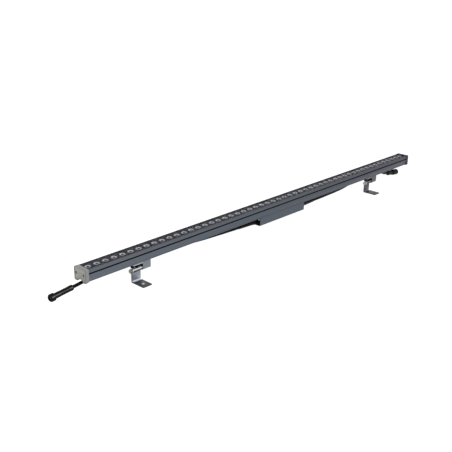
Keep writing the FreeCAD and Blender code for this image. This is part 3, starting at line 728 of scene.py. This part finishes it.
@dataclass(frozen=True)
class Optic:
    """Moulded clear lens, seen as a silvery grey, with painted shade on its front part where the bar's rim
    shades it.
    """

    name: str
    base: Colour
    light: Colour
    rough: Sheen = Sheen.GLOSS
    specular: float = 0.25
    shaded: Colour = (0.09, 0.09, 0.1)
    glint: Pattern = Pattern(260.0, 2.0, full=0.7, swing=0.15, relief=0.1)
    front: Zone = Zone(end=-2.2 * MM, soft=1.4 * MM, share=0.6)

    def material(self) -> Finish:
        """Make the finish.

        Returns:
            The material.
        """
        shader = Shader.of_material(self.name)
        low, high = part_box("lenses")
        glint = shader.noise(self.glint)
        _, across, _ = shader.axes()
        shade = shader.mix(shader.tone(glint, self.glint), self.base, self.light)
        # painted shade on the front part of each lens
        shade = shader.mix(across.within(self.front, (low.y + high.y) / 2), shade, self.shaded)
        return shader.finish(shader.principled({
            "Base Color": shade,
            "Roughness": glint * self.glint.swing + self.rough.value,
            "Specular IOR Level": self.specular,
            "Normal": shader.relief(glint, self.glint),
        }))


class Finishes:
    """Every material of the light, made once."""

    def __init__(self) -> None:
        """Make the materials from the frame's own heights."""
        low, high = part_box("housing_profile")
        self.bar = AnodisedBar().material(low.z, high.z, low.y)
        self.caps = {
            Side.LEFT: CastCap("cast_cap", base=(0.3, 0.297, 0.274), pale=(0.35, 0.35, 0.332),
                               deep=(0.13, 0.12, 0.105),
                               flank_painted_shade=(0.26, 0.264, 0.272)).material("end_cap_left"),
            # painted shade: the right cap takes a darker copy of the cap finish, for the weaker light at
            # that end
            Side.RIGHT: CastCap("cast_cap_shaded_copy", base=(0.038, 0.036, 0.042), pale=(0.053, 0.05, 0.058),
                                deep=(0.021, 0.02, 0.022), flank_painted_shade=(0.05, 0.047, 0.057),
                                metal=0.85).material("end_cap_right"),
        }
        self.pane = Pane().material()
        self.seal = Moulded("grey_seal", (0.058, 0.058, 0.062), (0.078, 0.078, 0.083), Sheen.SOFT,
                            specular=0.2).material()
        self.strip = Moulded("black_strip", (0.033, 0.0322, 0.036), (0.043, 0.042, 0.047), Sheen.SOFT,
                             grain=900.0, depth=0.02 * MM, specular=0.1).material()
        self.lens = {
            LensZone.RIM: Optic("lens_rim", (0.38, 0.38, 0.39), (0.52, 0.52, 0.54)).material(),
            LensZone.FACE: Optic("lens_face", (0.54, 0.54, 0.57), (0.82, 0.82, 0.86)).material(),
            LensZone.CORE: Optic("lens_core", (0.03, 0.03, 0.031), (0.07, 0.067, 0.058)).material(),
            LensZone.CONE: Optic("lens_cone", (0.42, 0.42, 0.44), (0.6, 0.6, 0.62)).material(),
        }
        self.board = Moulded("white_mask", (0.62, 0.63, 0.6), (0.7, 0.7, 0.68), Sheen.SATIN).material()
        self.phosphor = Moulded("phosphor", (0.75, 0.62, 0.12), (0.82, 0.72, 0.25), Sheen.SOFT,
                                grain=2600.0).material()
        self.green_board = Moulded("green_mask", (0.02, 0.12, 0.05), (0.03, 0.16, 0.07),
                                   Sheen.SATIN).material()
        self.tape = Moulded("yellow_tape", (0.6, 0.42, 0.05), (0.68, 0.5, 0.1), Sheen.SATIN).material()
        self.sleeve = Moulded("capacitor_sleeve", (0.02, 0.025, 0.06), (0.03, 0.04, 0.09),
                              Sheen.GLOSS).material()
        self.wire = Moulded("red_wire", (0.4, 0.02, 0.015), (0.48, 0.04, 0.03), Sheen.SATIN).material()
        self.jacket = Moulded("lead_jacket", (0.005, 0.005, 0.006), (0.012, 0.012, 0.013), Sheen.SATIN,
                              grain=1100.0, depth=0.05 * MM, specular=0.2, metal=0.8).material()
        self.plug = Moulded("moulded_black", (0.002, 0.002, 0.0024), (0.004, 0.004, 0.0045), Sheen.SATIN,
                            grain=1900.0, depth=0.04 * MM, specular=0.08).material()
        self.stainless = SatinMetal("stainless", (0.36, 0.36, 0.36), (0.5, 0.5, 0.5)).material()
        self.screw = SatinMetal("dark_screw", (0.13, 0.127, 0.12), (0.19, 0.186, 0.175)).material()
        self.bolts = {
            Side.LEFT: SatinMetal("yellow_zinc", (0.17, 0.17, 0.145), (0.27, 0.27, 0.24)).material(),
            # painted highlight: the right bolts take a paler copy of the zinc, standing in for the glint on
            # them
            Side.RIGHT: SatinMetal("zinc_lit_copy", (0.3, 0.3, 0.3), (0.42, 0.42, 0.42)).material(),
        }
        self.zinc = SatinMetal("bright_zinc", (0.62, 0.63, 0.66), (0.82, 0.83, 0.86),
                               rough=Sheen.GLOSS).material()
        self.feet = {
            Side.LEFT: FootMetal("zinc_sheet", (0.22, 0.24, 0.285), (0.3, 0.32, 0.37),
                                 painted_highlight=(0.84, 0.87, 0.92), node="foot_left").material(),
            # painted shade: a darker copy of the sheet finish for the right foot, for the weaker light at
            # that end
            Side.RIGHT: FootMetal("zinc_sheet_dull", (0.068, 0.07, 0.088), (0.105, 0.108, 0.13),
                                  painted_highlight=(0.3, 0.31, 0.34), node="foot_right").material(),
        }
        self.clamps = {
            Side.LEFT: ClampMetal("clamp_metal", (0.175, 0.203, 0.22), (0.245, 0.273, 0.288),
                                  bright=(0.46, 0.48, 0.52), node="clamp_left", underside=low.z).material(),
            # painted shade: a darker copy of the clamp finish for the right clamp, for the weaker light at
            # that end
            Side.RIGHT: ClampMetal("clamp_metal_dull", (0.085, 0.09, 0.095), (0.12, 0.125, 0.13),
                                   bright=(0.2, 0.21, 0.22), node="clamp_right", underside=low.z).material(),
        }
        # black oxide of the clamp screws and nuts, also the painted shade on the driver box's ends
        self.oxide_and_painted_shade = SatinMetal("black_oxide", (0.003, 0.003, 0.004), (0.007, 0.007, 0.008), metal=1.0,
                                rough=Sheen.SOFT, dark=(0.002, 0.002, 0.002)).material()
        self.gold = SatinMetal("gold_contact", (0.7, 0.5, 0.16), (0.85, 0.66, 0.28), metal=1.0,
                               rough=Sheen.GLOSS).material()


def linked(name: str, data: bpy.types.ID) -> Piece:
    """Add an object to the scene.

    Args:
        name: its name.
        data: its mesh, curve, lamp or camera data.

    Returns:
        The object.
    """
    piece = bpy.data.objects.new(name, data)
    bpy.context.scene.collection.objects.link(piece)
    return piece


def meshed(name: str, built: bmesh.types.BMesh) -> Piece:
    """Turn a finished bmesh into an object of the scene.

    Args:
        name: the object's name.
        built: the bmesh, which is freed.

    Returns:
        The object.
    """
    mesh = bpy.data.meshes.new(name)
    built.to_mesh(mesh)
    built.free()
    return linked(name, mesh)


def bar_base() -> Vector:
    """Give the point in the bar's underside and middle plane that routes and the eye start from."""
    low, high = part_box("housing_profile")
    return Vector((0.0, (low.y + high.y) / 2, low.z))


def dress(node: str, material: Finish) -> Piece:
    """Give a carried-over node one material.

    Args:
        node: the CAD node.
        material: its finish.

    Returns:
        The node's piece.
    """
    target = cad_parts[node]
    target.data.materials.clear()
    target.data.materials.append(material)
    return target


def smooth(piece: Piece) -> None:
    """Shade a mesh smooth, with its sharp edges kept.

    Args:
        piece: the mesh's object.
    """
    for face in piece.data.polygons:
        face.use_smooth = True
    piece.data.set_sharp_from_angle(angle=SHARP_ANGLE)


def eased(node: str, body: str, material: Finish, width: float) -> Piece:
    """Replace a node by the same form with small rounded edges that catch the light.

    Args:
        node: the CAD node.
        body: the body that it rides on.
        material: its finish.
        width: how far each edge is eased.

    Returns:
        The new piece.
    """
    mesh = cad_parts[node].data.copy()
    built = bmesh.new()
    built.from_mesh(mesh)
    bmesh.ops.remove_doubles(built, verts=built.verts, dist=WELD_DISTANCE)
    bmesh.ops.dissolve_limit(built, angle_limit=FLAT_ANGLE, verts=built.verts, edges=built.edges)
    built.to_mesh(mesh)
    built.free()
    mesh.materials.clear()
    mesh.materials.append(material)
    piece = linked(node + "_eased", mesh)
    ease = piece.modifiers.new("ease", "BEVEL")
    ease.width = width
    ease.segments = EASE_SEGMENTS
    ease.limit_method = "ANGLE"
    ease.angle_limit = SHARP_ANGLE
    ease.use_clamp_overlap = True
    smooth(piece)
    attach(piece, body)
    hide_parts(node)
    return piece


def turned(name: str, bands: list[tuple[float, float, int]], segments: int,
           places: list[Matrix]) -> Piece:
    """Revolve a profile about local Z at each place.

    Args:
        name: the piece's name.
        bands: (radius, height, number of the material of the face after it) from the foot up.
        segments: faces round the axis.
        places: where each copy stands.

    Returns:
        One object that holds every copy.
    """
    built = bmesh.new()
    turns = [math.tau * step / segments for step in range(segments)]
    for place in places:
        rings = []
        for radius, height, _ in bands:
            around = turns if radius > ON_AXIS else [0.0]
            rings.append([
                built.verts.new(place @ Vector((radius * math.cos(turn), radius * math.sin(turn), height)))
                for turn in around
            ])
        for (_, _, material), low, high in zip(bands, rings, rings[1:]):
            for step in range(segments):
                following = (step + 1) % segments
                corners = [low[step % len(low)], low[following % len(low)],
                           high[following % len(high)], high[step % len(high)]]
                face = built.faces.new(list(dict.fromkeys(corners)))
                face.material_index = material
                face.smooth = True
    bmesh.ops.recalc_face_normals(built, faces=built.faces)
    piece = meshed(name, built)
    piece.data.set_sharp_from_angle(angle=LENS_SHARP_ANGLE)
    return piece


@dataclass
class LightBar:
    """The extruded bar with its glass, seal, lens strip, lenses, board and chips.

    The lens profile gives shares of a lens's radius and height, and the zone of the face after them.
    """

    finishes: Finishes
    lens_count: int = 54
    lens_segments: int = 28
    ease: float = 0.18 * MM
    lens_profile: tuple[tuple[float, float, LensZone], ...] = (
        (0.0, 0.0, LensZone.CONE),
        (0.576, 0.0, LensZone.CONE),
        (1.0, 0.68, LensZone.RIM),
        (1.0, 0.97, LensZone.RIM),
        (0.97, 1.0, LensZone.RIM),
        (0.84, 1.0, LensZone.RIM),
        (0.8, 0.955, LensZone.FACE),
        (0.56, 0.93, LensZone.FACE),
        (0.42, 0.905, LensZone.CORE),
        (0.3, 0.72, LensZone.CORE),
        (0.16, 0.62, LensZone.CORE),
        (0.0, 0.6, LensZone.CORE),
    )

    def lenses(self) -> Piece:
        """Build the row of lenses: cone, rim, face and centre dimple.

        Returns:
            The row as one piece.
        """
        low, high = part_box("lenses")
        rise = high.z - low.z
        radius = (high.y - low.y) / 2
        first = low.x + radius
        pitch = (high.x - radius - first) / (self.lens_count - 1)
        places = [Matrix.Translation((first + i * pitch, (low.y + high.y) / 2, low.z))
                  for i in range(self.lens_count)]
        bands = [(radius * out, rise * up, zone) for out, up, zone in self.lens_profile]
        piece = turned("lens_row", bands, self.lens_segments, places)
        for zone in LensZone:
            piece.data.materials.append(self.finishes.lens[zone])
        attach(piece, "light")
        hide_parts("lenses")
        return piece

    def build(self) -> list[Piece]:
        """Build and dress the bar.

        Returns:
            Its pieces.
        """
        finish = self.finishes
        return [
            eased("housing_profile", "light", finish.bar, self.ease),
            eased("glass_cover", "light", finish.pane, self.ease),
            dress("glass_seal", finish.seal),
            dress("lens_strip", finish.strip),
            dress("circuit_board", finish.board),
            dress("led_chips", finish.phosphor),
            self.lenses(),
        ]


@dataclass
class EndCaps:
    """The two caps with their gaskets and screws."""

    finishes: Finishes
    ease: float = 0.22 * MM
    skirt_length: float = 1.5 * MM
    skirt_gap: float = 0.05 * MM
    corner: float = 2.0 * MM
    corner_steps: int = 6

    def skirt(self, side: Side) -> Piece:
        """Build the thin skirt with which a cap laps over the bar's top and sides.

        Args:
            side: which cap.

        Returns:
            The skirt.
        """
        low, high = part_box("end_cap_" + side.value)
        bar_low, bar_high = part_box("housing_profile")
        start = high.x if side is Side.LEFT else low.x
        reach = self.skirt_length if side is Side.LEFT else -self.skirt_length
        middle = (low.y + high.y) / 2
        half = (high.y - low.y) / 2
        inner_half = (bar_high.y - bar_low.y) / 2 + self.skirt_gap
        outer = [(half, bar_low.z)]
        for step in range(self.corner_steps + 1):
            turn = math.pi / 2 * step / self.corner_steps
            outer.append((half - self.corner * (1 - math.cos(turn)),
                          high.z - self.corner * (1 - math.sin(turn))))
        inner = [(inner_half, bar_low.z), (inner_half, bar_high.z + self.skirt_gap)]
        outline = outer + [(-y, z) for y, z in reversed(outer)] + [(-y, z) for y, z in inner] + inner[::-1]
        built = bmesh.new()
        face = built.faces.new([built.verts.new((start, middle + y, z)) for y, z in outline])
        grown = bmesh.ops.extrude_face_region(built, geom=[face])
        moved = [item for item in grown["geom"] if isinstance(item, bmesh.types.BMVert)]
        bmesh.ops.translate(built, verts=moved, vec=(reach, 0, 0))
        bmesh.ops.recalc_face_normals(built, faces=built.faces)
        piece = meshed("cap_skirt_" + side.value, built)
        piece.data.materials.append(self.finishes.caps[side])
        smooth(piece)
        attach(piece, "light")
        return piece

    def build(self) -> list[Piece]:
        """Build and dress both ends of the bar.

        Returns:
            Their pieces.
        """
        pieces = []
        for side in Side:
            pieces += [
                self.skirt(side),
                eased("end_cap_" + side.value, "light", self.finishes.caps[side], self.ease),
                dress("end_gasket_" + side.value, self.finishes.seal),
            ]
        return pieces + [dress("end_cap_screws", self.finishes.screw)]


@dataclass
class DriverBox:
    """The box under the bar with what it holds and its two glands."""

    finishes: Finishes
    ease: float = 0.2 * MM
    end_facing: float = 0.9

    def end_plate(self, side: Side) -> Piece:
        """Build an end plate whose faces across X are black, as painted shade.

        Args:
            side: which end.

        Returns:
            The plate.
        """
        plate = eased("driver_end_plate_" + side.value, "light", self.finishes.bar, self.ease)
        # painted shade: the faces across X take the black finish, standing in for the shade on the box's
        # ends
        plate.data.materials.append(self.finishes.oxide_and_painted_shade)
        for face in plate.data.polygons:
            face.material_index = int(abs(face.normal.x) > self.end_facing)
        return plate

    def build(self) -> list[Piece]:
        """Build and dress the box, its ends, its glands and its inner pieces.

        Returns:
            Their pieces.
        """
        finish = self.finishes
        pieces = [eased("driver_case", "light", finish.bar, self.ease)]
        for side in Side:
            pieces += [
                self.end_plate(side),
                eased("gland_" + side.value, "light", finish.plug, self.ease),
                dress("gland_locknut_" + side.value, finish.plug),
            ]
        inner = {
            "driver_end_screws": finish.stainless,
            "driver_board": finish.green_board,
            "driver_transformer": finish.tape,
            "driver_capacitors": finish.sleeve,
            "driver_fixing_screws": finish.stainless,
            "driver_slot_nuts": finish.stainless,
            "supply_wires": finish.wire,
            "wire_grommet": finish.seal,
        }
        return pieces + [dress(node, material) for node, material in inner.items()]


@dataclass
class Leads:
    """The two leads with their strain reliefs and connectors.

    The routes are control points, measured from the bar's underside and middle plane.
    """

    finishes: Finishes
    diameter: float = 0.006
    left_length: float = 0.4036
    right_length: float = 0.3095
    round_steps: int = 6
    run_steps: int = 12
    curve_order: int = 3
    left_route: tuple[Spot, ...] = (
        (-0.1134, 0.0, -0.0108),
        (-0.140, 0.0, -0.0100),
        (-0.180, 0.0003, -0.0083),
        (-0.222, 0.0, -0.0062),
        (-0.262, -0.0003, -0.0022),
        (-0.298, 0.0, 0.0046),
        (-0.334, 0.0003, 0.0077),
        (-0.382, 0.0, 0.0078),
        (-0.428, 0.0002, 0.0075),
        (-0.464, 0.0, 0.0014),
        (-0.491, 0.0, -0.00345),
        (-0.515, 0.0, -0.0064),
    )
    right_route: tuple[Spot, ...] = (
        (0.126, 0.0, -0.0108),
        (0.152, 0.0, -0.0107),
        (0.184, 0.0003, -0.0100),
        (0.218, 0.0, -0.0090),
        (0.248, -0.0002, -0.0066),
        (0.274, 0.0, -0.0014),
        (0.296, 0.0002, 0.0052),
        (0.318, 0.0, 0.0078),
        (0.348, -0.0001, 0.0079),
        (0.376, 0.0001, 0.0076),
        (0.392, 0.0, 0.0018),
        (0.405, 0.0001, -0.0056),
        (0.418, 0.0, -0.01093),
        (0.430, 0.0, -0.0124),
    )

    def lead(self, side: Side, route: tuple[Spot, ...]) -> Piece:
        """Build one lead along its route.

        Args:
            side: which lead.
            route: its control points.

        Returns:
            The lead.
        """
        points = [bar_base() + Vector(place) for place in route]
        curve = bpy.data.curves.new("lead_" + side.value + "_jacket", "CURVE")
        curve.dimensions = "3D"
        curve.bevel_depth = self.diameter / 2
        curve.bevel_resolution = self.round_steps
        curve.resolution_u = self.run_steps
        curve.use_fill_caps = True
        spline = curve.splines.new("NURBS")
        spline.points.add(len(points) - 1)
        for target, place in zip(spline.points, points):
            target.co = (*place, 1.0)
        spline.order_u = self.curve_order
        spline.use_endpoint_u = True
        curve.materials.append(self.finishes.jacket)
        piece = linked(curve.name, curve)
        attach(piece, "light")
        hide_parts("lead_" + side.value)
        return piece

    def build(self) -> list[Piece]:
        """Build both leads and dress what is on them.

        Returns:
            Their pieces.
        """
        contacts = "male_connector_contacts"
        pieces = [dress("strain_relief_" + side.value, self.finishes.jacket) for side in Side]
        pieces += [dress(node, self.finishes.plug) for node in MALE_CONNECTOR + FEMALE_CONNECTOR]
        return pieces + [
            dress(contacts, self.finishes.gold),
            self.lead(Side.LEFT, self.left_route),
            self.lead(Side.RIGHT, self.right_route),
        ]


@dataclass
class Brackets:
    """The two clamps and feet with their pivot bolts."""

    finishes: Finishes
    ease: float = 0.18 * MM

    def build(self) -> list[Piece]:
        """Build and dress both brackets.

        Returns:
            Their pieces.
        """
        pieces = []
        finish = self.finishes
        for side in Side:
            word = side.value
            clamp = "clamp_" + word
            bolt = finish.bolts[side]
            pieces += [
                eased(clamp, clamp, finish.clamps[side], self.ease),
                eased("foot_" + word, "foot_" + word, finish.feet[side], self.ease),
                eased("pivot_bolt_" + word, clamp, bolt, self.ease),
                eased("pivot_nut_" + word, clamp, bolt, self.ease),
                dress("pivot_washer_" + word, finish.zinc),
                dress("clamp_nut_" + word, finish.oxide_and_painted_shade),
                dress("clamp_screw_" + word, finish.oxide_and_painted_shade),
            ]
        return pieces


@dataclass(frozen=True)
class Lamp:
    """A soft square lamp, with its side in metres and its power in watts."""

    name: str
    place: Spot
    aim: Spot
    size: float
    power: float

    def hang(self) -> Piece:
        """Hang the lamp.

        Returns:
            The lamp.
        """
        data = bpy.data.lights.new(self.name, "AREA")
        data.size = self.size
        data.energy = self.power
        lamp = linked(self.name, data)
        lamp.location = self.place
        lamp.rotation_mode = "QUATERNION"
        lamp.rotation_quaternion = (Vector(self.aim) - Vector(self.place)).to_track_quat("-Z", "Y")
        return lamp


@dataclass
class Studio:
    """Floor, world, lamps and the camera at the photograph's viewpoint.

    The eye is measured from the bar's underside and middle plane, and the angles are degrees.
    """

    frame_width: float = 452.0
    focal_pixels: float = 748.0
    sensor: float = 36.0
    clip_start: float = 0.05
    clip_end: float = 200.0
    eye: Spot = (-1.1453, -0.9484, 0.5281)
    azimuth: float = -46.349
    elevation: float = 20.922
    roll: float = 0.508
    floor_half: float = 30.0
    floor_drop: float = 0.2 * MM
    floor_colour: Colour = (0.72, 0.72, 0.72)
    floor_glow: float = 0.72
    world_fill: float = 0.44
    key: Lamp = Lamp("key", (-1.2, -2.6, 1.9), (0.0, 0.0, 0.04), 2.2, 55.0)
    fill: Lamp = Lamp("fill", (-2.8, 0.6, 1.4), (0.0, 0.0, 0.04), 1.8, 14.0)
    streak: Lamp = Lamp("streak", (1.78, -4.57, 2.69), (-0.54, 0.0, 0.03), 1.2, 900.0)

    def camera(self) -> Piece:
        """Set the camera by its place, angles and focal length.

        Returns:
            The camera.
        """
        turn, lift, roll = (math.radians(angle) for angle in (self.azimuth, self.elevation, self.roll))
        back = Vector((math.sin(turn) * math.cos(lift), -math.cos(turn) * math.cos(lift), math.sin(lift)))
        right = (-back).cross(Vector((0, 0, 1))).normalized()
        up = right.cross(-back)
        rolled_right = right * math.cos(roll) + up * math.sin(roll)
        rolled_up = up * math.cos(roll) - right * math.sin(roll)
        axes = Matrix((rolled_right, rolled_up, back)).transposed()
        data = bpy.data.cameras.new("camera")
        data.sensor_width = self.sensor
        data.lens = self.focal_pixels / self.frame_width * self.sensor
        data.clip_start = self.clip_start
        data.clip_end = self.clip_end
        camera = linked("camera", data)
        camera.matrix_world = Matrix.Translation(bar_base() + Vector(self.eye)) @ axes.to_4x4()
        bpy.context.scene.camera = camera
        return camera

    def floor(self) -> Piece:
        """Lay a plain pale floor that keeps the light's shadow.

        Returns:
            The floor.
        """
        built = bmesh.new()
        bmesh.ops.create_grid(built, x_segments=2, y_segments=2, size=self.floor_half)
        piece = meshed("floor", built)
        piece.location = (0, 0, -self.floor_drop)
        shader = Shader.of_material("pale_floor")
        seen = shader.rays(Ray.CAMERA, Ray.GLOSSY, Ray.TRANSMISSION)
        plain = shader.node("ShaderNodeBsdfDiffuse", {}, {0: rgba(self.floor_colour)})
        glow = shader.node("ShaderNodeEmission", {}, {0: rgba(WHITE), 1: seen * self.floor_glow})
        both = shader.node("ShaderNodeAddShader", {}, {0: plain.outputs[0], 1: glow.outputs[0]})
        piece.data.materials.append(shader.finish(both))
        return piece

    def world(self) -> None:
        """Fill with even light, and show white to the camera and to reflections."""
        shader = Shader(bpy.data.worlds.new("studio"), "ShaderNodeOutputWorld")
        seen = shader.rays(Ray.CAMERA, Ray.GLOSSY, Ray.TRANSMISSION)
        strength = seen.span(0.0, 1.0, self.world_fill, 1.0)
        sky = shader.node("ShaderNodeBackground", {}, {0: rgba(WHITE), 1: strength})
        bpy.context.scene.world = shader.finish(sky)

    def gloss_lamp(self) -> Piece:
        """Hang the far lamp that draws a streak of gloss along the black mouldings, and on them alone.

        Returns:
            The lamp.
        """
        lamp = self.streak.hang()
        lamp.visible_diffuse = False
        lit = bpy.data.collections.new("glossy_mouldings")
        for node in MALE_CONNECTOR + FEMALE_CONNECTOR:
            lit.objects.link(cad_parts[node])
        lamp.light_linking.receiver_collection = lit
        return lamp

    def build(self) -> list[Piece]:
        """Build the studio.

        Returns:
            The camera, the floor and the lamps.
        """
        self.world()
        bpy.context.scene.view_settings.view_transform = "Standard"
        return [self.camera(), self.floor(), self.key.hang(), self.fill.hang(), self.gloss_lamp()]


def main() -> None:
    """Build every sub-assembly in order and report its pieces."""
    logging.basicConfig(level=logging.INFO, format="%(message)s")
    log = logging.getLogger("linear_light")
    finishes = Finishes()
    for part in (Studio(), LightBar(finishes), EndCaps(finishes), DriverBox(finishes), Leads(finishes),
                 Brackets(finishes)):
        for piece in part.build():
            log.info("%s: %s", type(part).__name__, piece.name)


if __name__ == "__main__":
    main()
